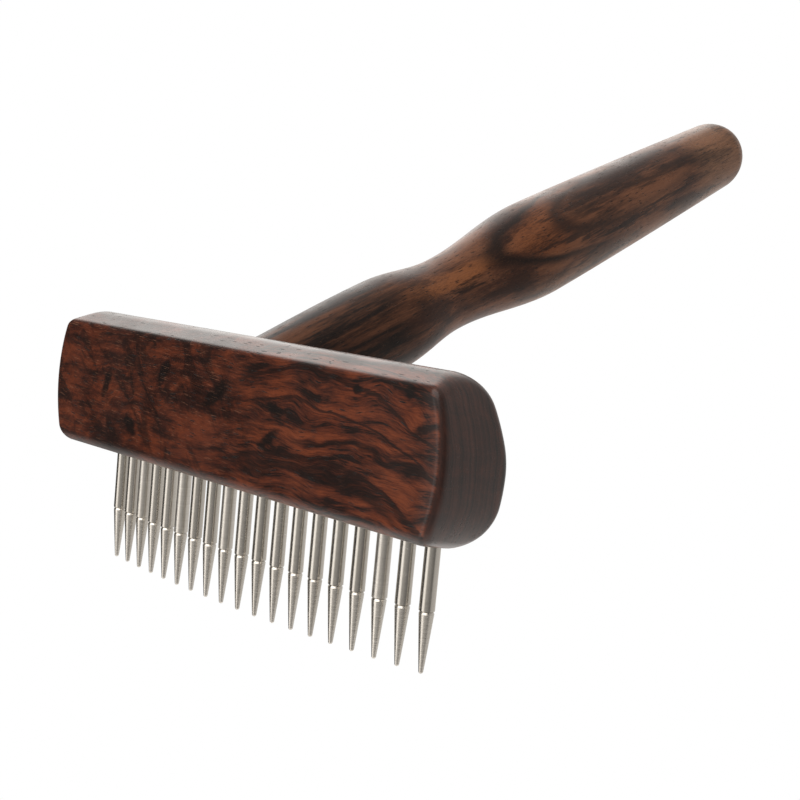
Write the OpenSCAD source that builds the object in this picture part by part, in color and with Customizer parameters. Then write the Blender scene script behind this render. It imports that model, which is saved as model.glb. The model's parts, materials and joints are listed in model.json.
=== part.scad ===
// Wooden T-shaped coat rake: a solid hardwood head, a turned hardwood handle and one row of
// steel teeth. Each tooth is a pressed-in pin with a cone point and a loose sleeve that rolls on it.
// Origin: centre of the head's flat front face. +X along the head, +Y towards the handle, +Z up.

/* [Head] */
// Length of the head
head_l = 110.4; // [108:0.2:120]
// Height of the flat front face
head_h = 25.2; // [25:0.2:28]
// How far each end face bulges out at mid height
end_bulge = 3.9; // [1:0.1:4.5]
// Further drop of each end at its upper and lower corners
corner_drop = 3; // [1:0.2:6]
// Rise of the top face towards the back, in degrees
top_rise = 22; // [16:0.5:22.5]
// Fall of the underside towards the back, in degrees
under_fall = 10.7; // [8:0.1:12]
// Depth of the head at the handle's height, before the back's bulge
back_y = 14; // [13.5:0.1:15]
// Lean of the back towards the front at its top, in degrees
back_tilt = 10.6; // [9:0.2:12]
// How far the back bulges out between its edges
back_crown = 2.1; // [1.8:0.1:2.4]
// Rounding along the top back edge
top_back_r = 7.6; // [5:0.2:8]
// Rounding along the bottom back edge
bottom_back_r = 7; // [5:0.2:7.4]
// Small rounding along the front edges
front_edge_r = 2; // [1:0.25:2.5]
// Broader rounding along the lower front edge
lower_front_r = 3.2; // [1:0.2:3.4]
// Rounding of the back corners, seen from above
back_corner_r = 1.6; // [1:0.2:4]
// Lean of the head in its own front plane against the row of teeth, in degrees
head_lean = 0.6; // [0:0.1:0.8]

/* [Handle] */
// Tilt of the handle above the normal of the front face
handle_tilt = 22.3; // [20:0.1:24]
// Distance of the handle's seat behind the front face
seat_y = 15; // [14.5:0.1:16]
// Height of the handle's seat above the middle of the front face
seat_z = 7.3; // [7:0.1:7.6]
// Visible length of the handle along its axis
handle_l = 174.5; // [170:0.5:220]
// Radius at the head
neck_r = 9.2; // [8:0.1:9.4]
// Radius of the swell in front of the waist
shoulder_r = 10; // [9.5:0.1:12]
// Radius of the waist
waist_r = 8.2; // [7.5:0.1:9.2]
// Radius of the palm swell
belly_r = 11.4; // [10.5:0.1:13]
// Radius where the round end begins
butt_r = 9.3; // [8.5:0.1:10.5]

/* [Teeth] */
// Number of teeth
tooth_count = 19; // [11:2:19]
// Spacing of the teeth along the head
pitch = 5; // [5:0.1:5.2]
// Radius of the bow that the row follows in plan
row_bow_r = 325; // [300:5:600]
// Distance of the middle tooth behind the front face
row_y = 8.7; // [8.2:0.1:9]
// Depth of the cone shoulder below the front face's lower edge
seam_drop = 14.4; // [12:0.1:18]
// Length of the cone, from its shoulder to the tip
cone_l = 10.9; // [9:0.1:14]
// Outer radius of a sleeve
sleeve_r = 1.4; // [1.3:0.05:1.6]
// Radius of a pin's stem
stem_r = 0.9; // [0.8:0.05:1]
// Radius of the blunt tip
tip_r = 0.42; // [0.3:0.02:0.6]

/* [Fits] */
// Radial running clearance of a sleeve on its stem
bore_gap = 0.06; // [0.03:0.01:0.1]
// End play of a sleeve, at each end
end_play = 0.1; // [0.05:0.05:0.3]
// Depth of the recess that hides a sleeve's upper end
recess_h = 2.4; // [2:0.1:3]
// Length of stem pressed into the head
press_l = 7.5; // [6:0.5:8]

/* [Hidden] */
$fn = 64;
eps = 0.01;
front_z = head_h / 2;
seam_z = -front_z - seam_drop;
tip_z = seam_z - cone_l;
row_mid = (tooth_count + 1) / 2;

// Recess above the underside at the row, and the sleeve that fills it
under_z = -front_z - row_y * tan(under_fall);
recess_z = under_z + recess_h;
sleeve_top = recess_z - end_play;
sleeve_bottom = seam_z + end_play;
stem_top = recess_z + press_l;
cone_r = sleeve_r - 0.06;
groove = 0.22;

// Handle stations, measured from the seat along the axis
shoulder_a = 29;
waist_a = 48;
belly_a = 82;
cap_l = 9.5;
butt_a = handle_l - cap_l;
socket_l = 4.5;
tenon_l = 11.5;
tenon_r = 6;
lathe_steps = 48;
cap_steps = 8;
taper_power = 1.3;

wood = [0.36, 0.17, 0.10];
turned_wood = [0.38, 0.24, 0.17];
steel = [0.72, 0.71, 0.69];

function two(i) = str(i < 10 ? "0" : "", i);
function pin_name(i) = str("tooth_pin_", two(i));
function sleeve_name(i) = str("tooth_sleeve_", two(i));

// Plan position of tooth i: evenly spaced along X, on the bow in Y
function tooth_x(i) = (i - row_mid) * pitch;
function tooth_y(i) = row_y + row_bow_r - sqrt(row_bow_r ^ 2 - tooth_x(i) ^ 2);

// Points of a polygon with each corner replaced by an arc of its own radius
function unit(v) = v / norm(v);
function fillet(before, corner, after, r, steps) =
    let (
        u = unit(before - corner),
        v = unit(after - corner),
        half = acos(u * v) / 2,
        centre = corner + unit(u + v) * r / sin(half),
        foot = corner + u * r / tan(half) - centre,
        turn = (u[0] * v[1] - u[1] * v[0] > 0 ? -1 : 1) * (180 - 2 * half)
    )
    [for (k = [0 : steps]) let (a = turn * k / steps)
        centre + [foot[0] * cos(a) - foot[1] * sin(a), foot[0] * sin(a) + foot[1] * cos(a)]];
function rounded(corners, radii, steps = 10) =
    let (n = len(corners))
    [for (i = [0 : n - 1])
        each fillet(corners[(i + n - 1) % n], corners[i], corners[(i + 1) % n], radii[i], steps)];

// Section of the head in the Y-Z plane, with a crowned back
back_z = 7.7;
function back_corner(z0, slope) =
    let (
        lean = tan(back_tilt),
        y = (back_y - (z0 - back_z) * lean) / (1 + slope * lean)
    )
    [y, z0 + slope * y];
back_top = back_corner(front_z, tan(top_rise));
back_bottom = back_corner(-front_z, -tan(under_fall));
back_middle = (back_top + back_bottom) / 2 + back_crown * [cos(back_tilt), sin(back_tilt)];
back_crown_r = 24;
section_corners = [[0, -front_z], [0, front_z], back_top, back_middle, back_bottom];
section_radii = [lower_front_r, front_edge_r, top_back_r, back_crown_r, bottom_back_r];

// End outline seen from the front: bulged at mid height, dropping away faster at the corners
end_reach = front_z + 3.2;
end_steps = 14;
corner_power = 11;
end_x = head_l / 2 - end_bulge - corner_drop;
end_curve = [for (k = [-end_steps : end_steps]) let (u = sin(90 * k / end_steps))
    [head_l / 2 - end_bulge * u ^ 2 - corner_drop * abs(u) ^ corner_power, end_reach * u]];
end_outline = concat([[end_x, -head_h]], end_curve, [[end_x, head_h]]);

// Outlines seen from above: small corners at the front, and larger ones at the back.
// The back outline is measured square to the back, before its bulge.
body_depth = 40;
front_plan = rounded(
    [[-head_l / 2, 0], [head_l / 2, 0], [head_l / 2, body_depth], [-head_l / 2, body_depth]],
    [front_edge_r, front_edge_r, 1, 1]
);
back_plan = rounded(
    [[-head_l / 2, -body_depth], [head_l / 2, -body_depth], [head_l / 2, 0], [-head_l / 2, 0]],
    [1, 1, back_corner_r, back_corner_r]
);

// Moves children so that their +Z runs backwards and up by the tilt, from that place
module facing_back(y, z, tilt) {
    translate([0, y, z])
        rotate([tilt - 90, 0, 0])
            mirror([0, 1, 0])
                children();
}
module on_handle_axis() {
    facing_back(seat_y, seat_z, handle_tilt)
        children();
}

// The head before drilling: its section, trimmed by the end and corner outlines
module head_blank() {
    rotate([0, head_lean, 0])
        intersection() {
            rotate([90, 0, 90])
                translate([0, 0, -head_l])
                    linear_extrude(2 * head_l)
                        polygon(rounded(section_corners, section_radii));
            translate([0, body_depth, 0])
                rotate([90, 0, 0])
                    linear_extrude(2 * body_depth)
                        polygon(concat(end_outline, [for (p = end_outline) -p]));
            translate([0, 0, -head_h])
                linear_extrude(2 * head_h)
                    polygon(front_plan);
            facing_back(back_y, back_z, back_tilt)
                rotate([90, 0, 0])
                    translate([0, back_crown, -head_h])
                        linear_extrude(2 * head_h)
                            polygon(back_plan);
        }
}

// The solid head, with a blind socket for the handle and a stepped hole for each tooth
module head_block() {
    color(wood)
        difference() {
            head_blank();
            on_handle_axis() {
                translate([0, 0, -socket_l])
                    cylinder(r = neck_r, h = socket_l + 10);
                translate([0, 0, -tenon_l])
                    cylinder(r = tenon_r, h = tenon_l);
            }
            for (i = [1 : tooth_count])
                translate([tooth_x(i), tooth_y(i), 0]) {
                    translate([0, 0, recess_z - 10])
                        cylinder(r = sleeve_r + 0.1, h = 10);
                    translate([0, 0, recess_z - eps])
                        cylinder(r = stem_r, h = press_l + eps);
                }
        }
}

// Radius of the handle at distance a from the seat
function ease(t) = (1 - cos(180 * t)) / 2;
function handle_r(a) =
    a < shoulder_a ? neck_r + (shoulder_r - neck_r) * sin(90 * a / shoulder_a) :
    a < waist_a ? shoulder_r + (waist_r - shoulder_r) * ease((a - shoulder_a) / (waist_a - shoulder_a)) :
    a < belly_a ? waist_r + (belly_r - waist_r) * ease((a - waist_a) / (belly_a - waist_a)) :
    belly_r - (belly_r - butt_r) * ((a - belly_a) / (butt_a - belly_a)) ^ taper_power;

// One turned piece: a shouldered tenon, the grip and a round end
module handle() {
    grip = [for (k = [0 : lathe_steps]) let (a = butt_a * k / lathe_steps) [handle_r(a), a]];
    cap = [for (k = [1 : cap_steps]) let (t = 90 * k / cap_steps)
        [k == cap_steps ? 0 : butt_r * cos(t), butt_a + cap_l * sin(t)]];
    foot = [[0, -tenon_l], [tenon_r, -tenon_l], [tenon_r, -socket_l], [neck_r, -socket_l]];
    color(turned_wood)
        on_handle_axis()
            rotate_extrude()
                polygon(concat(foot, grip, cap));
}

// Pin: a cone point with a shoulder under the sleeve, and a stem pressed into the head
module tooth_pin(i) {
    tip = [for (k = [0 : 4]) let (t = 90 * k / 4)
        [k == 0 ? 0 : tip_r * sin(t), tip_z + tip_r * (1 - cos(t))]];
    shoulder = [[cone_r, seam_z - groove], [cone_r - groove, seam_z], [stem_r, seam_z]];
    color(steel)
        translate([tooth_x(i), tooth_y(i), 0])
            rotate_extrude()
                polygon(concat(tip, shoulder, [[stem_r, stem_top], [0, stem_top]]));
}

// Sleeve: a plain tube that rolls on the stem between the shoulder and the head
module tooth_sleeve(i) {
    bore_r = stem_r + bore_gap;
    color(steel)
        translate([tooth_x(i), tooth_y(i), 0])
            rotate_extrude()
                polygon([
                    [bore_r, sleeve_bottom],
                    [sleeve_r - groove, sleeve_bottom],
                    [sleeve_r, sleeve_bottom + groove],
                    [sleeve_r, sleeve_top],
                    [bore_r, sleeve_top]
                ]);
}

head_block();
handle();
for (i = [1 : tooth_count])
    tooth_pin(i);
for (i = [1 : tooth_count])
    tooth_sleeve(i);
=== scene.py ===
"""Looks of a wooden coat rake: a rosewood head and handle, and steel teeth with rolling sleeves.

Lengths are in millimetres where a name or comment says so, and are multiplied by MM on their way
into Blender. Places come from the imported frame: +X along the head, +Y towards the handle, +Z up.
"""

import json
import math

import bmesh
import bpy
import numpy as np
from mathutils import Matrix, Vector


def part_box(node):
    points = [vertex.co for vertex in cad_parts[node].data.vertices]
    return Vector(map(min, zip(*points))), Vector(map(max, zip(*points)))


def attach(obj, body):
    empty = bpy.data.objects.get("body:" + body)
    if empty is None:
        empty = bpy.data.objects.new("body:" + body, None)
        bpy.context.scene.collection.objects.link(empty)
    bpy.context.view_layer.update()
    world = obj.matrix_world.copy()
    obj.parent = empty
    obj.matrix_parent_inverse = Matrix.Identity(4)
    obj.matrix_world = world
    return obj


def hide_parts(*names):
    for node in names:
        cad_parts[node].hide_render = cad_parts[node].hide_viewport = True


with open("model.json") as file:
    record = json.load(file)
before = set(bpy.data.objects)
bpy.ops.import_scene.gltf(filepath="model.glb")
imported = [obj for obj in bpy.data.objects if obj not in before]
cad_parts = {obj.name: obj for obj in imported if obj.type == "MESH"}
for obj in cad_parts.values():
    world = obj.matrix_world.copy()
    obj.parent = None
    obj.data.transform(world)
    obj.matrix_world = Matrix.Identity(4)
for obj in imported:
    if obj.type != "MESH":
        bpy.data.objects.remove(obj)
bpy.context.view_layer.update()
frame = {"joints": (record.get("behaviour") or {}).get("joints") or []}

MM = 0.001
joints = frame["joints"]
tooth_places = [(j["pos_m"][0] / MM, j["pos_m"][1] / MM) for j in joints]
tooth_count = len(tooth_places)


def mm_box(node):
    """A CAD node's lowest and highest corner, in millimetres."""
    low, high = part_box(node)
    return low / MM, high / MM


# ---------------------------------------------------------------- shape of the wood and teeth, in millimetres

head_half = 55.2
front_z = 12.6
head_lean = math.radians(0.6)
handle_tilt = math.radians(22.3)
seat = Vector((0, 15.0, 7.3))
axis = Vector((0, math.cos(handle_tilt), math.sin(handle_tilt)))
axis_up = Vector((0, -math.sin(handle_tilt), math.cos(handle_tilt)))

top_rise, under_fall = math.tan(math.radians(22)), math.tan(math.radians(10.7))
back_y, back_z, back_tilt, back_crown = 14.0, 7.7, math.radians(10.6), 2.1
section_radii = (3.2, 1.9, 7.6, 24.0, 7.0)
end_bulge, corner_drop, corner_power, end_reach = 3.9, 3.0, 11, front_z + 3.2
end_edge_r = 1.6
outline_points, wall_steps = 264, 36

neck_r, shoulder_r, waist_r, belly_r, butt_r = 9.2, 10.0, 8.2, 11.4, 9.3
shoulder_a, waist_a, belly_a, handle_l, cap_l = 29, 48, 82, 174.5, 9.5
butt_a = handle_l - cap_l
socket_l, tenon_l, tenon_r = 4.5, 11.5, 6.0

# Gaps between pieces that turn or fit together, and how far cutters reach past a face
end_gap, recess_gap, socket_gap, cutter_past = 0.1, 0.1, 0.04, 8

pin_low, pin_high = mm_box("tooth_pin_01")
sleeve_low, sleeve_high = mm_box("tooth_sleeve_01")
sleeve_r = (sleeve_high.x - sleeve_low.x) / 2
seam_z = sleeve_low.z - end_gap
stem_r, bore_r, tip_r = 0.9, 0.96, 0.42
shoulder_in, shoulder_down, sleeve_lip, upper_lip = 0.16, 0.36, 0.10, 0.08
cone_r = sleeve_r - 0.06


# ---------------------------------------------------------------- mesh helpers

def new_object(name, mesh):
    piece = bpy.data.objects.new(name, mesh)
    bpy.context.scene.collection.objects.link(piece)
    return piece


def mesh_from(name, points_mm, faces):
    """A smooth-shaded mesh from points in millimetres, with its normals outwards."""
    mesh = bpy.data.meshes.new(name)
    mesh.from_pydata([Vector(p) * MM for p in points_mm], [], faces)
    work = bmesh.new()
    work.from_mesh(mesh)
    bmesh.ops.recalc_face_normals(work, faces=work.faces)
    work.to_mesh(mesh)
    work.free()
    mesh.shade_smooth()
    return mesh


def grid_faces(rings, count, closed_ends=True):
    """Quads between neighbouring rings of count points, and one flat face at each end."""
    faces = [
        (r * count + k, r * count + (k + 1) % count,
         (r + 1) * count + (k + 1) % count, (r + 1) * count + k)
        for r in range(rings - 1)
        for k in range(count)
    ]
    if closed_ends:
        faces.append(tuple(range(count)))
        faces.append(tuple((rings - 1) * count + k for k in range(count)))
    return faces


def lathe(name, profile, segments, place=Matrix.Identity(4)):
    """A closed turned solid about local Z. The profile of (radius, z) runs from pole to pole."""
    points, faces = [], []
    rows = []
    for radius, z in profile:
        if radius < 1e-6:
            rows.append([len(points)])
            points.append(place @ Vector((0, 0, z)))
            continue
        rows.append(list(range(len(points), len(points) + segments)))
        for k in range(segments):
            turn = 2 * math.pi * k / segments
            points.append(place @ Vector((radius * math.cos(turn), radius * math.sin(turn), z)))
    for low, high in zip(rows, rows[1:]):
        for k in range(segments):
            quad = [low[k % len(low)], low[(k + 1) % len(low)],
                    high[(k + 1) % len(high)], high[k % len(high)]]
            faces.append(tuple(dict.fromkeys(quad)))
    return mesh_from(name, points, faces)


def tube(name, outline, segments, place):
    """A ring-shaped turned solid about local Z. The outline is a closed loop of (radius, z)."""
    points = []
    for radius, z in outline:
        for k in range(segments):
            turn = 2 * math.pi * k / segments
            points.append(place @ Vector((radius * math.cos(turn), radius * math.sin(turn), z)))
    n = len(outline)
    faces = [
        (r * segments + k, r * segments + (k + 1) % segments,
         (r + 1) % n * segments + (k + 1) % segments, (r + 1) % n * segments + k)
        for r in range(n)
        for k in range(segments)
    ]
    return mesh_from(name, points, faces)


def fillet(before, corner, after, radius, steps):
    """Points that replace a corner of a polygon by an arc."""
    u = (before - corner).normalized()
    v = (after - corner).normalized()
    half = u.angle(v) / 2
    centre = corner + (u + v).normalized() * radius / math.sin(half)
    foot = corner + u * radius / math.tan(half) - centre
    turn = math.copysign(math.pi - 2 * half, u.y * v.x - u.x * v.y)
    return [centre + Matrix.Rotation(turn * k / steps, 2) @ foot for k in range(steps + 1)]


# ---------------------------------------------------------------- head

def back_corner(z0, slope):
    """Where a face of the section meets the back's plane."""
    lean = math.tan(back_tilt)
    y = (back_y - (z0 - back_z) * lean) / (1 + slope * lean)
    return Vector((y, z0 + slope * y))


def head_section():
    """Outline of the head in the Y-Z plane, as evenly spaced points."""
    top = back_corner(front_z, top_rise)
    bottom = back_corner(-front_z, -under_fall)
    middle = (top + bottom) / 2 + back_crown * Vector((math.cos(back_tilt), math.sin(back_tilt)))
    corners = [Vector((0, -front_z)), Vector((0, front_z)), top, middle, bottom]
    loop = []
    for i, radius in enumerate(section_radii):
        loop += fillet(corners[i - 1], corners[i], corners[(i + 1) % 5], radius, 24)
    return spread(loop, outline_points)


def spread(loop, count):
    """The same closed outline with count points, evenly spaced along it."""
    points = np.array([tuple(p) for p in loop + loop[:1]])
    steps = np.linalg.norm(np.diff(points, axis=0), axis=1)
    away = np.concatenate([[0], np.cumsum(steps)])
    at = np.linspace(0, away[-1], count, endpoint=False)
    return [
        Vector((np.interp(t, away, points[:, 0]), np.interp(t, away, points[:, 1]))) for t in at
    ]


def outward(loop):
    """Unit normals of a closed outline."""
    n = len(loop)
    area = sum(loop[i - 1].x * loop[i].y - loop[i].x * loop[i - 1].y for i in range(n))
    normals = []
    for i in range(n):
        along = (loop[(i + 1) % n] - loop[i - 1]).normalized()
        normals.append(Vector((along.y, -along.x)) * math.copysign(1, area))
    return normals


def end_x(y, z):
    """How far the end face reaches there: bulged, dropping away at its upper and lower corners."""
    u = min(1.0, abs(z) / end_reach)
    return head_half - end_bulge * u**2 - corner_drop * u**corner_power


def head_mesh():
    loop = head_section()
    normals = outward(loop)
    count = len(loop)
    rings = []
    centre = sum(loop, Vector((0, 0))) / count
    inner = [p - n * end_edge_r for p, n in zip(loop, normals)]
    for share in (0.12, 0.3, 0.5, 0.68, 0.82, 0.92):
        ring = [centre.lerp(p, share) for p in inner]
        rings.append([(end_x(*p), *p) for p in ring])
    edge_steps = 8
    for k in range(edge_steps + 1):
        t = math.pi / 2 * k / edge_steps
        pull, back = end_edge_r * (1 - math.sin(t)), end_edge_r * (1 - math.cos(t))
        ring = [p - n * pull for p, n in zip(loop, normals)]
        rings.append([(end_x(*p) - back, *p) for p in ring])
    side = rings[-1]
    rows = rings + [
        [(x * (1 - 2 * k / wall_steps), y, z) for x, y, z in side] for k in range(1, wall_steps)
    ] + [[(-x, y, z) for x, y, z in ring] for ring in reversed(rings)]
    lean = Matrix.Rotation(head_lean, 3, "Y")
    points = [lean @ Vector(p) for row in rows for p in row]
    return mesh_from("head", points, grid_faces(len(rows), count))


def cylinder_cutter(radius, low, high, place, segments=48):
    return lathe("cutter", [(0, low), (radius, low), (radius, high), (0, high)], segments, place)


def on_axis():
    """Local +Z along the handle's axis, from its seat, with local X kept."""
    turn = Matrix((Vector((1, 0, 0)), -axis_up, axis)).transposed().to_4x4()
    return Matrix.Translation(seat) @ turn


def cut(piece, cutters):
    """Takes the cutters' volume out of the piece."""
    joined = bmesh.new()
    for mesh in cutters:
        joined.from_mesh(mesh)
    tool_mesh = bpy.data.meshes.new("cutters")
    joined.to_mesh(tool_mesh)
    joined.free()
    tool = new_object("cutters", tool_mesh)
    boolean = piece.modifiers.new("holes", "BOOLEAN")
    boolean.operation, boolean.solver, boolean.object = "DIFFERENCE", "EXACT", tool
    graph = bpy.context.evaluated_depsgraph_get()
    done = bpy.data.meshes.new_from_object(piece.evaluated_get(graph))
    piece.modifiers.clear()
    piece.data = done
    bpy.data.objects.remove(tool)


def tooth_place(i):
    x, y = tooth_places[i]
    return Matrix.Translation((x, y, 0))


def make_head():
    piece = new_object("head", head_mesh())
    recess_z = sleeve_high.z + end_gap
    cutters = [
        cylinder_cutter(neck_r + socket_gap, -socket_l, 12, on_axis(), 96),
        cylinder_cutter(tenon_r, -tenon_l, -socket_l + 0.5, on_axis()),
    ]
    for i in range(tooth_count):
        recess_r, mouth_z = sleeve_r + recess_gap, recess_z - cutter_past
        cutters.append(cylinder_cutter(recess_r, mouth_z, recess_z, tooth_place(i)))
        cutters.append(cylinder_cutter(stem_r, recess_z - 0.5, pin_high.z, tooth_place(i)))
    cut(piece, cutters)
    piece.data.shade_smooth()
    piece.data.set_sharp_from_angle(angle=math.radians(35))
    return piece


# ---------------------------------------------------------------- handle

def ease(t):
    return (1 - math.cos(math.pi * t)) / 2


def handle_r(a):
    """Radius of the handle at distance a from its seat."""
    if a < shoulder_a:
        return neck_r + (shoulder_r - neck_r) * math.sin(math.pi / 2 * max(a, 0) / shoulder_a)
    if a < waist_a:
        return shoulder_r + (waist_r - shoulder_r) * ease((a - shoulder_a) / (waist_a - shoulder_a))
    if a < belly_a:
        return waist_r + (belly_r - waist_r) * ease((a - waist_a) / (belly_a - waist_a))
    return belly_r - (belly_r - butt_r) * ((a - belly_a) / (butt_a - belly_a)) ** 1.3


def make_handle():
    rings, cap_rings = 220, 26
    foot = [(0, -tenon_l), (tenon_r - 0.4, -tenon_l), (tenon_r, -tenon_l + 0.4),
            (tenon_r, -socket_l), (neck_r, -socket_l)]
    grip = [(handle_r(a), a) for a in np.linspace(-socket_l + 0.5, butt_a, rings)]
    cap = [
        (butt_r * math.cos(t), butt_a + cap_l * math.sin(t))
        for t in np.linspace(0, math.pi / 2, cap_rings)[1:]
    ]
    mesh = lathe("handle", foot + grip + cap[:-1] + [(0, handle_l)], 144, on_axis())
    mesh.set_sharp_from_angle(angle=math.radians(40))
    return new_object("handle", mesh)


# ---------------------------------------------------------------- teeth

def pin_profile():
    """From the blunt tip up the cone, over the shoulder and up the stem."""
    tip_z = pin_low.z
    tip = [
        (tip_r * math.sin(t), tip_z + tip_r * (1 - math.cos(t)))
        for t in np.linspace(0, math.pi / 2, 8)
    ]
    low, high = tip[-1][1], seam_z - shoulder_down
    cone = [
        (tip_r + (cone_r - tip_r) * t**0.93, low + (high - low) * t)
        for t in np.linspace(0, 1, 40)[1:]
    ]
    shoulder = [(cone_r - shoulder_in, seam_z), (stem_r, seam_z)]
    stem = [(stem_r, z) for z in np.linspace(seam_z, pin_high.z, 12)[1:]]
    return [(0, tip_z)] + tip[1:] + cone + shoulder + stem + [(0, pin_high.z)]


def sleeve_outline():
    """Closed outline of the tube, with a chamfer at its lower end and a small one at its upper."""
    low, high = sleeve_low.z, sleeve_high.z
    outer = [(sleeve_r, z) for z in np.linspace(low + sleeve_lip, high - upper_lip, 32)]
    return (
        [(bore_r, low), (sleeve_r - sleeve_lip, low)]
        + outer
        + [(sleeve_r - upper_lip, high), (bore_r, high)]
    )


def mark(mesh, name, value):
    """Writes one number on every point of the mesh, for its material to read."""
    attribute = mesh.attributes.new(name, "FLOAT", "POINT")
    attribute.data.foreach_set("value", np.full(len(mesh.vertices), value, np.float32))


def make_teeth(steel):
    """One pin and one sleeve at each place, each with its own tone and amount of turning marks."""
    rng = np.random.default_rng(19)
    banded = {2: 0.9, 5: 1.0, 8: 0.8, 16: 1.0}
    for i in range(tooth_count):
        number = f"{i + 1:02d}"
        pin = new_object(f"pin_{number}", lathe("pin", pin_profile(), 56, tooth_place(i)))
        sleeve_mesh = tube("sleeve", sleeve_outline(), 64, tooth_place(i))
        sleeve = new_object(f"sleeve_{number}", sleeve_mesh)
        for piece, turned in ((pin, 0.5), (sleeve, banded.get(i, rng.uniform(0, 0.25)))):
            piece.data.set_sharp_from_angle(angle=math.radians(18))
            mark(piece.data, "tone", rng.uniform(0, 1))
            mark(piece.data, "turned", turned)
            piece.data.materials.append(steel)
        stand_for(pin, f"tooth_pin_{number}", "rake")
        stand_for(sleeve, f"tooth_sleeve_{number}", f"sleeve_{number}")


def stand_for(piece, node, body):
    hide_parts(node)
    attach(piece, body)


# ---------------------------------------------------------------- material helpers

class Shader:
    """One node material. Each method adds a node and returns its output socket."""

    def __init__(self, name):
        self.material = bpy.data.materials.new(name)
        self.material.use_nodes = True
        self.tree = self.material.node_tree
        self.tree.nodes.clear()
        place = self.tree.nodes.new("ShaderNodeTexCoord")
        self.normal = place.outputs["Normal"]
        self.place_mm = self.scale(place.outputs["Object"], 1 / MM)

    def put(self, socket, value):
        if isinstance(value, bpy.types.NodeSocket):
            self.tree.links.new(value, socket)
        elif value is not None:
            socket.default_value = value

    def add(self, kind, inputs, **settings):
        node = self.tree.nodes.new(kind)
        for key, value in settings.items():
            setattr(node, key, value)
        for key, value in inputs.items():
            self.put(node.inputs[key], value)
        return node

    def math(self, operation, a, b=None, c=None, clamp=False):
        node = self.add("ShaderNodeMath", {0: a, 1: b, 2: c}, operation=operation, use_clamp=clamp)
        return node.outputs[0]

    def sum(self, *terms):
        total = terms[0]
        for term in terms[1:]:
            total = self.math("ADD", total, term)
        return total

    def times(self, a, b):
        return self.math("MULTIPLY", a, b)

    def scale(self, vector, factor):
        node = self.add("ShaderNodeVectorMath", {0: vector, "Scale": factor}, operation="SCALE")
        return node.outputs[0]

    def stretch(self, vector, factors):
        node = self.add("ShaderNodeVectorMath", {0: vector, 1: factors}, operation="MULTIPLY")
        return node.outputs[0]

    def along(self, vector, direction):
        inputs = {0: vector, 1: tuple(direction)}
        node = self.add("ShaderNodeVectorMath", inputs, operation="DOT_PRODUCT")
        return node.outputs["Value"]

    def split(self, vector):
        return self.add("ShaderNodeSeparateXYZ", {0: vector}).outputs

    def combine(self, x, y, z):
        return self.add("ShaderNodeCombineXYZ", {0: x, 1: y, 2: z}).outputs[0]

    def noise(self, vector, scale=1.0, detail=2.0, rough=0.5, twist=0.0):
        inputs = {"Vector": vector, "Scale": scale, "Detail": detail, "Roughness": rough,
                  "Distortion": twist}
        return self.add("ShaderNodeTexNoise", inputs).outputs[0]

    def noise_line(self, value, detail=2.0, rough=0.5):
        """Noise along one number, for layers that come at uneven distances."""
        inputs = {"W": value, "Scale": 1.0, "Detail": detail, "Roughness": rough}
        return self.add("ShaderNodeTexNoise", inputs, noise_dimensions="1D").outputs[0]

    def cells(self, vector, scale=1.0):
        node = self.add("ShaderNodeTexVoronoi", {"Vector": vector, "Scale": scale})
        return node.outputs["Distance"], node.outputs["Color"]

    def band(self, value, low, high, out_low=0.0, out_high=1.0, smooth=True):
        """Maps low..high to out_low..out_high and holds the ends."""
        kind = "SMOOTHSTEP" if smooth else "LINEAR"
        inputs = {"Value": value, "From Min": low, "From Max": high,
                  "To Min": out_low, "To Max": out_high}
        return self.add("ShaderNodeMapRange", inputs, interpolation_type=kind).outputs[0]

    def mix(self, share, a, b):
        """Mixes two colours."""
        node = self.add("ShaderNodeMix", {0: share, 6: a, 7: b}, data_type="RGBA")
        return node.outputs[2]

    def bump(self, height, depth_mm, normal=None):
        inputs = {"Height": height, "Strength": 1.0, "Distance": depth_mm * MM, "Normal": normal}
        return self.add("ShaderNodeBump", inputs).outputs[0]

    def finish(self, **inputs):
        named = {key.replace("_", " "): value for key, value in inputs.items()}
        shader = self.add("ShaderNodeBsdfPrincipled", named)
        self.add("ShaderNodeOutputMaterial", {"Surface": shader.outputs[0]})
        return self.material


def colour(red, green, blue):
    return (red, green, blue, 1.0)


# ---------------------------------------------------------------- wood

BLACK_VEIN = colour(0.0045, 0.0024, 0.0020)
DARK_BROWN = colour(0.029, 0.0082, 0.0050)
RED_BROWN = colour(0.092, 0.0210, 0.0092)
ORANGE_BROWN = colour(0.165, 0.0400, 0.0150)
SILVER_FIBRE = colour(0.30, 0.140, 0.085)
END_DARK = colour(0.0120, 0.0065, 0.0055)
END_LIGHT = colour(0.044, 0.0170, 0.0125)

# Place on the front face, half length and half width, tilt in degrees
KNOTS = (
    ((14.7, -1.7), (3.2, 1.1), 35),
    ((15.5, 3.6), (2.6, 1.3), -10),
    ((35.5, 9.7), (1.3, 0.9), 0),
    ((47.0, 11.0), (1.2, 1.2), 0),
    ((51.0, 6.0), (3.0, 1.1), 15),
    ((-1.0, 4.0), (5.0, 1.8), 40),
    ((-36.0, 2.0), (3.6, 1.3), 65),
    ((-27.0, -6.0), (3.0, 1.6), -50),
    ((-17.0, 6.0), (3.4, 1.5), 55),
)


def grain(s, fibre):
    """Streaks, finer fibre lines and pores. fibre is a place whose X runs along the fibres."""
    streak = s.noise(s.stretch(fibre, (0.22, 5.0, 5.0)), detail=3, rough=0.6)
    fine = s.noise(s.stretch(fibre, (0.6, 14.0, 14.0)), detail=2, rough=0.6)
    distance, chance = s.cells(s.stretch(fibre, (0.30, 2.6, 2.6)))
    chosen = s.band(s.split(chance)[0], 0.64, 0.70)
    pore = s.times(s.band(distance, 0.30, 0.16), chosen)
    return streak, fine, pore


OIL_IOR, OIL_COAT_ROUGHNESS = 1.42, 0.16


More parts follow.
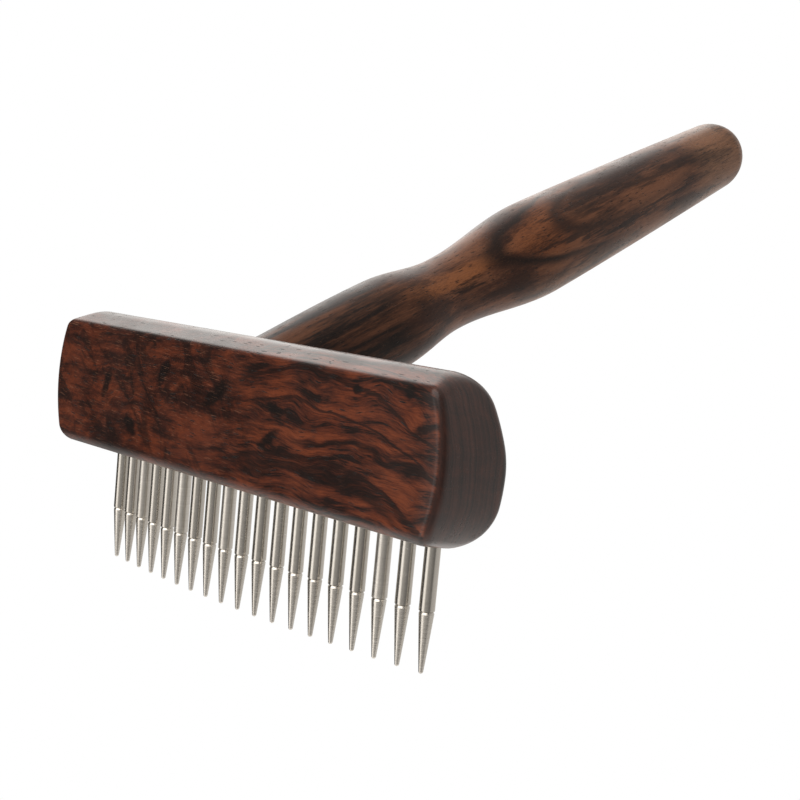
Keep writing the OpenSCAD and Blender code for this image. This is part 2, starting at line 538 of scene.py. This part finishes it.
def wood_finish(s, base, streak, fine, pore, rough_low, rough_high, relief, specular, coat):
    """The oiled surface: pores are small pits, and the fibres leave a faint relief."""
    wear = s.noise(s.place_mm, scale=0.08, detail=3, rough=0.6)
    rough = s.sum(s.band(wear, 0.3, 0.7, rough_low, rough_high), s.times(pore, 0.25))
    height = s.sum(s.times(streak, 0.5), s.times(fine, 0.35), s.times(pore, -2.0))
    return s.finish(Base_Color=base, Roughness=rough, Normal=s.bump(height, relief), IOR=OIL_IOR,
                    Specular_IOR_Level=specular, Coat_Weight=coat,
                    Coat_Roughness=OIL_COAT_ROUGHNESS)


def head_wood():
    """Rosewood with a wild figure: slanted blotches at the left, long waves at the right."""
    s = Shader("rosewood_head")
    x, y, z = s.split(s.place_mm)[0:3]
    broad = s.noise(s.stretch(s.place_mm, (0.05, 0.08, 0.07)), detail=2, rough=0.5)
    waves = s.noise(s.stretch(s.place_mm, (0.065, 0.05, 0.10)), detail=2, rough=0.45)
    right = s.band(s.sum(x, s.times(broad, 30), -18), -6, 12)
    left = s.math("SUBTRACT", 1.0, right)

    drift = s.times(s.math("SUBTRACT", waves, 0.5), s.band(right, 0, 1, 5.0, 7.0))
    fibre = s.combine(x, s.times(y, 0.6), s.sum(z, drift))
    streak, fine, pore = grain(s, fibre)

    long_veins = s.noise(s.stretch(fibre, (0.075, 0.25, 0.42)), detail=5, rough=0.66)
    from_top = s.math("SUBTRACT", x, 24.0)
    bow = s.sum(z, s.times(s.times(from_top, from_top), 0.0095))
    layer = s.sum(s.times(bow, 0.40), s.times(waves, 2.2), s.times(y, 0.5))
    arches = s.noise_line(layer, detail=3, rough=0.6)
    off_vein = s.math("ABSOLUTE", s.sum(bow, 5.3, s.times(s.math("SUBTRACT", waves, 0.5), 6.0)))
    vein_span = s.times(s.band(x, 3, 10), s.band(x, 49, 41))
    main_vein = s.times(s.band(off_vein, 1.5, 0.6), vein_span)
    slant = s.combine(s.sum(x, s.times(z, 0.8)), y, s.math("SUBTRACT", z, s.times(x, 0.8)))
    blots = s.noise(s.stretch(slant, (0.15, 0.12, 0.065)), detail=5, rough=0.6, twist=1.0)

    uneven = s.times(s.math("SUBTRACT", streak, 0.5), 0.30)
    dark_right = s.math("MAXIMUM", s.band(s.sum(long_veins, uneven), 0.465, 0.395),
                        s.times(s.band(s.sum(arches, uneven), 0.46, 0.37), 0.9))
    sway = s.times(s.math("SUBTRACT", waves, 0.5), 14.0)
    off_second = s.math("ABSOLUTE", s.sum(z, s.times(x, 0.08), -2.5, sway))
    second_vein = s.times(s.band(off_second, 0.9, 0.3), s.band(x, 18, 26))
    dark_right = s.math("MAXIMUM", dark_right, s.math("MAXIMUM", main_vein, second_vein))
    dark_left = s.math("MAXIMUM", s.times(s.band(blots, 0.53, 0.40), 0.9),
                       s.times(s.band(long_veins, 0.48, 0.36), 0.7))
    dark = s.sum(s.times(dark_right, right), s.times(dark_left, left))

    warm = s.band(s.sum(long_veins, s.times(streak, 0.30), s.times(broad, 0.35)), 0.72, 1.0)
    base = s.mix(warm, DARK_BROWN, RED_BROWN)
    glow_sum = s.sum(s.times(long_veins, 0.9), s.times(arches, 0.4), s.times(streak, 0.3))
    glow = s.band(glow_sum, 0.74, 1.06)
    base = s.mix(s.times(glow, s.band(right, 0, 1, 0.45, 0.95)), base, ORANGE_BROWN)
    base = s.mix(s.times(dark, s.band(streak, 0.25, 0.6, 0.95, 0.72)), base, BLACK_VEIN)

    for place, size, tilt in KNOTS:
        base = s.mix(s.times(knot(s, x, z, waves, place, size, tilt), 0.92), base, BLACK_VEIN)

    tilted = s.combine(x, y, s.sum(z, s.times(x, 0.10)))
    fleck = s.band(s.noise(s.stretch(tilted, (0.26, 5.5, 5.5)), detail=2, rough=0.7), 0.58, 0.72)
    base = s.mix(s.times(fleck, s.band(left, 0, 1, 0.10, 0.42)), base, SILVER_FIBRE)
    base = s.mix(s.times(s.band(fine, 0.48, 0.32), 0.5), base, BLACK_VEIN)
    base = s.mix(s.times(pore, 0.9), base, BLACK_VEIN)

    facing = s.split(s.normal)
    end = s.band(s.math("ABSOLUTE", facing[0]), 0.30, 0.62)
    ring_place = s.sum(s.times(y, 0.8), s.times(waves, 3.0), s.times(z, 0.08))
    rings = s.noise_line(ring_place, detail=3, rough=0.6)
    end_tone = s.mix(s.band(s.sum(rings, s.times(fine, 0.3)), 0.45, 0.85), END_DARK, END_LIGHT)
    base = s.mix(s.times(end, 0.88), base, end_tone)
    return wood_finish(s, base, streak, fine, pore, rough_low=0.27, rough_high=0.38,
                       relief=0.030, specular=0.28, coat=0.30)


def knot(s, x, z, waves, place, size, tilt):
    """1 inside a small ragged oval on the front, 0 outside."""
    across = s.math("SUBTRACT", x, place[0])
    above = s.sum(z, -place[1], s.times(s.math("SUBTRACT", waves, 0.5), 3.0))
    turn = math.radians(tilt)
    cos, sin = math.cos(turn), math.sin(turn)
    long_way = s.sum(s.times(across, cos / size[0]), s.times(above, sin / size[0]))
    short_way = s.sum(s.times(across, -sin / size[1]), s.times(above, cos / size[1]))
    far = s.sum(s.times(long_way, long_way), s.times(short_way, short_way))
    ragged = s.noise(s.place_mm, scale=0.9, detail=3)
    return s.band(s.sum(far, s.times(ragged, 1.4)), 1.9, 0.9)


# The handle's colours
GRIP_DARK = colour(0.046, 0.0165, 0.0095)
GRIP_WARM = colour(0.162, 0.0640, 0.0310)
NECK_BROWN = colour(0.050, 0.0190, 0.0100)
OVAL_ORANGE = colour(0.190, 0.0600, 0.0200)
RIDGE_ORANGE = colour(0.230, 0.0800, 0.0270)
GOLDEN_BROWN = colour(0.210, 0.1050, 0.0560)
RIM_DARK = colour(0.0085, 0.0042, 0.0032)
PALE_FIBRE = colour(0.30, 0.155, 0.085)


def handle_wood():
    """Turned rosewood with soft nested ovals on the side that faces the teeth's right end."""
    s = Shader("rosewood_handle")
    from_seat = {0: s.place_mm, 1: tuple(seat)}
    local = s.add("ShaderNodeVectorMath", from_seat, operation="SUBTRACT").outputs[0]
    along = s.along(local, axis)
    up = s.along(local, axis_up)
    side = s.split(local)[0]
    fibre = s.combine(along, up, side)
    warp = s.noise(s.stretch(fibre, (0.045, 0.12, 0.12)), detail=3, rough=0.55, twist=0.4)
    sway = s.times(s.math("SUBTRACT", warp, 0.5), 1.0)

    turn = s.math("ARCTAN2", up, side)
    reach = s.times(s.math("SUBTRACT", turn, math.radians(39)), 10.5)

    def oval(centre, half_length, half_height, wobble):
        """1 on the oval's line, less inside it, more outside."""
        far = s.math("DIVIDE", s.math("SUBTRACT", along, centre), half_length)
        wide = s.math("DIVIDE", s.sum(reach, s.times(sway, 5)), half_height)
        size = s.math("SQRT", s.math("ADD", s.math("POWER", far, 2), s.math("POWER", wide, 2)))
        return s.sum(size, s.times(sway, wobble))

    outer, inner = oval(121, 60, 10, 0.12), oval(113.5, 33, 5.6, 0.35)

    streak, fine, pore = grain(s, fibre)
    clouds = s.noise(s.stretch(fibre, (0.040, 0.15, 0.15)), detail=3, rough=0.55, twist=0.3)
    long_veins = s.noise(s.stretch(fibre, (0.030, 0.42, 0.42)), detail=6, rough=0.70)
    near_head = s.band(along, 36, 22)

    warm_sum = s.sum(s.times(clouds, 0.8), s.times(long_veins, 0.5), s.times(streak, 0.3))
    warm = s.band(warm_sum, 0.66, 0.96)
    base = s.mix(warm, GRIP_DARK, GRIP_WARM)
    base = s.mix(s.times(near_head, 0.6), base, NECK_BROWN)
    eye = s.times(s.band(outer, 1.0, 0.86), s.band(along, 96, 74))
    base = s.mix(s.times(eye, s.band(streak, 0.30, 0.62, 0.20, 0.62)), base, OVAL_ORANGE)
    ridge = s.times(s.band(s.math("ABSOLUTE", s.sum(reach, s.times(sway, 7))), 3.4, 0.6),
                    s.times(s.band(along, 26, 36), s.band(along, 64, 52)))
    base = s.mix(s.times(ridge, s.band(streak, 0.30, 0.62, 0.35, 0.8)), base, RIDGE_ORANGE)
    belly_side = s.times(s.band(up, -2, -8), s.band(along, 60, 80))
    golden = s.math("MAXIMUM", s.band(along, 138, 152), belly_side)
    base = s.mix(s.times(golden, s.band(streak, 0.3, 0.7, 0.35, 0.85)), base, GOLDEN_BROWN)

    def rim(size, inside, outside):
        """A dark line on an oval that fades both ways."""
        return s.times(s.band(size, 1 - inside, 1.0), s.band(size, 1 + outside, 1.0))

    blotches = s.band(s.sum(clouds, s.times(streak, 0.25)), 0.64, 0.44)
    rims = s.math("MAXIMUM", s.times(rim(outer, 0.08, 0.15), s.band(along, 120, 72, 0.10, 0.92)),
                  s.times(rim(inner, 0.30, 0.22), s.band(along, 122, 88, 0.35, 0.8)))
    core = s.times(s.band(inner, 1.1, 0.7), s.band(long_veins, 0.60, 0.42, 0.08, 0.7))
    neck = s.times(s.band(s.sum(long_veins, s.times(sway, 0.25)), 0.62, 0.40), near_head)
    veins = s.times(s.band(long_veins, 0.44, 0.38), 0.75)
    dark = rims
    for layer in (core, neck, veins, s.times(blotches, 0.5)):
        dark = s.math("MAXIMUM", dark, layer)
    base = s.mix(dark, base, RIM_DARK)
    base = s.mix(s.times(s.band(fine, 0.60, 0.74), 0.22), base, PALE_FIBRE)
    base = s.mix(s.times(s.band(fine, 0.47, 0.32), 0.5), base, BLACK_VEIN)
    base = s.mix(s.times(pore, 0.8), base, BLACK_VEIN)
    return wood_finish(s, base, streak, fine, pore, rough_low=0.26, rough_high=0.36,
                       relief=0.035, specular=0.14, coat=0.06)


# ---------------------------------------------------------------- steel

def tooth_steel():
    """Turned steel. The marks run round the tooth, most on a few sleeves and half as much on the cones."""
    s = Shader("tooth_steel")
    tone = s.add("ShaderNodeAttribute", {}, attribute_name="tone").outputs["Fac"]
    turned = s.add("ShaderNodeAttribute", {}, attribute_name="turned").outputs["Fac"]
    z = s.split(s.place_mm)[2]
    shift = s.times(tone, 40)
    marks = s.noise_line(s.sum(s.times(z, 2.6), shift), detail=2, rough=0.6)
    bands = s.noise_line(s.sum(s.times(z, 1.1), shift), detail=2)
    grime = s.noise(s.place_mm, scale=1.6, detail=4, rough=0.65)
    shade = s.sum(s.times(tone, 0.25), s.times(grime, 0.5), s.times(s.times(marks, turned), 0.5))
    base = s.mix(s.band(shade, 0.2, 1.0), colour(0.54, 0.51, 0.465), colour(0.72, 0.69, 0.64))
    rough = s.sum(0.16, s.times(turned, 0.12), s.times(s.band(bands, 0.4, 0.6), 0.04),
                  s.times(grime, 0.08))
    height = s.sum(s.times(s.times(marks, turned), 1.0), s.times(s.times(bands, turned), 0.8),
                   s.times(grime, 0.10))
    return s.finish(Base_Color=base, Metallic=1.0, Roughness=rough, Normal=s.bump(height, 0.030))


# ---------------------------------------------------------------- stage, light and camera

def place_camera():
    """The camera stands low, in front of the right end of the head, and is rolled a little."""
    data = bpy.data.cameras.new("camera")
    data.lens, data.sensor_width = 55, 36
    data.clip_start, data.clip_end = 0.01, 100
    camera = new_object("camera", data)
    right = Vector((0.73018, 0.67673, 0.09417))
    up = Vector((-0.13669, 0.00965, 0.99057))
    back = right.cross(up)
    camera.matrix_world = Matrix((right, up, back)).transposed().to_4x4()
    camera.location = Vector((175.49, -143.40, 28.68)) * MM
    bpy.context.scene.camera = camera


def make_floor():
    """A pale round floor well below the teeth."""
    radius, drop = 0.26, 0.30
    turns = [2 * math.pi * k / 96 for k in range(96)]
    mesh = bpy.data.meshes.new("floor")
    mesh.from_pydata([(radius * math.cos(t), radius * math.sin(t), -drop) for t in turns], [],
                     [tuple(range(96))])
    floor = new_object("floor", mesh)
    s = Shader("pale_floor")
    cloud = s.noise(s.place_mm, scale=0.002, detail=2)
    base = s.mix(cloud, colour(0.90, 0.90, 0.90), colour(0.92, 0.92, 0.92))
    floor.data.materials.append(s.finish(Base_Color=base, Roughness=0.9))


class World(Shader):
    """The light tent around the tool, as a shader over directions."""

    def __init__(self):
        self.material = bpy.data.worlds.new("tent")
        self.material.use_nodes = True
        self.tree = self.material.node_tree
        self.tree.nodes.clear()
        self.direction = self.tree.nodes.new("ShaderNodeTexCoord").outputs["Generated"]

    def ramp(self, value, stops):
        """Grey levels at the given shares of 0..1."""
        node = self.add("ShaderNodeValToRGB", {0: value})
        elements = node.color_ramp.elements
        while len(elements) < len(stops):
            elements.new(0.5)
        for element, (place, level) in zip(elements, stops):
            element.position, element.color = place, (level, level, level, 1)
        return node.outputs[0]


PANEL_LIGHT = 1.75
TOP_LIGHT = 0.35
KEY_LIGHT = 2.2


def light_world():
    """Side walls of uneven brightness, bright areas above and in front, and a white backdrop."""
    s = World()
    x, y, z = s.split(s.direction)[0:3]
    azimuth = s.math("DIVIDE", s.math("ARCTAN2", y, x), 2 * math.pi)
    # Azimuth in degrees, brightness
    walls = [
        (-180, 0.16), (-160, 0.09), (-130, 0.04), (-121, 1.8), (-98, 1.5), (-84, 0.46), (-50, 0.36),
        (-10, 0.16), (10, 0.60), (50, 0.66), (120, 0.85), (155, 0.30), (180, 0.16),
    ]
    ring = s.ramp(s.sum(azimuth, 0.5), [((a + 180) / 360, level) for a, level in walls])
    panel = s.band(s.along(s.direction, (-0.66, 0.51, 0.55)), 0.86, 0.97, 0.0, PANEL_LIGHT)
    key = s.band(s.along(s.direction, (0.10, -0.66, 0.745)), 0.76, 0.92, 0.0, KEY_LIGHT)
    above = s.band(z, 0.45, 0.95, 0.0, TOP_LIGHT)
    under = s.band(z, -0.42, -0.62, 0.0, 0.45)
    total = s.sum(s.times(ring, s.band(z, 0.35, 0.75, 1.0, 0.6)), panel, key, above, under)
    seen = s.add("ShaderNodeLightPath", {}).outputs["Is Camera Ray"]
    strength = s.add("ShaderNodeMix", {0: seen, 2: total, 3: 1.0}).outputs[0]
    tone = s.mix(seen, colour(1.0, 0.965, 0.925), colour(1.0, 1.0, 1.0))
    background = s.add("ShaderNodeBackground", {"Color": tone, "Strength": strength})
    s.add("ShaderNodeOutputWorld", {"Surface": background.outputs[0]})
    bpy.context.scene.world = s.material


def make_stage():
    place_camera()
    make_floor()
    light_world()
    view = bpy.context.scene.view_settings
    view.view_transform, view.look, view.exposure, view.gamma = "Standard", "None", 0, 1


# ---------------------------------------------------------------- the object

make_stage()
head = make_head()
head.data.materials.clear()
head.data.materials.append(head_wood())
stand_for(head, "head_block", "rake")
handle = make_handle()
handle.data.materials.append(handle_wood())
stand_for(handle, "handle", "rake")
make_teeth(tooth_steel())
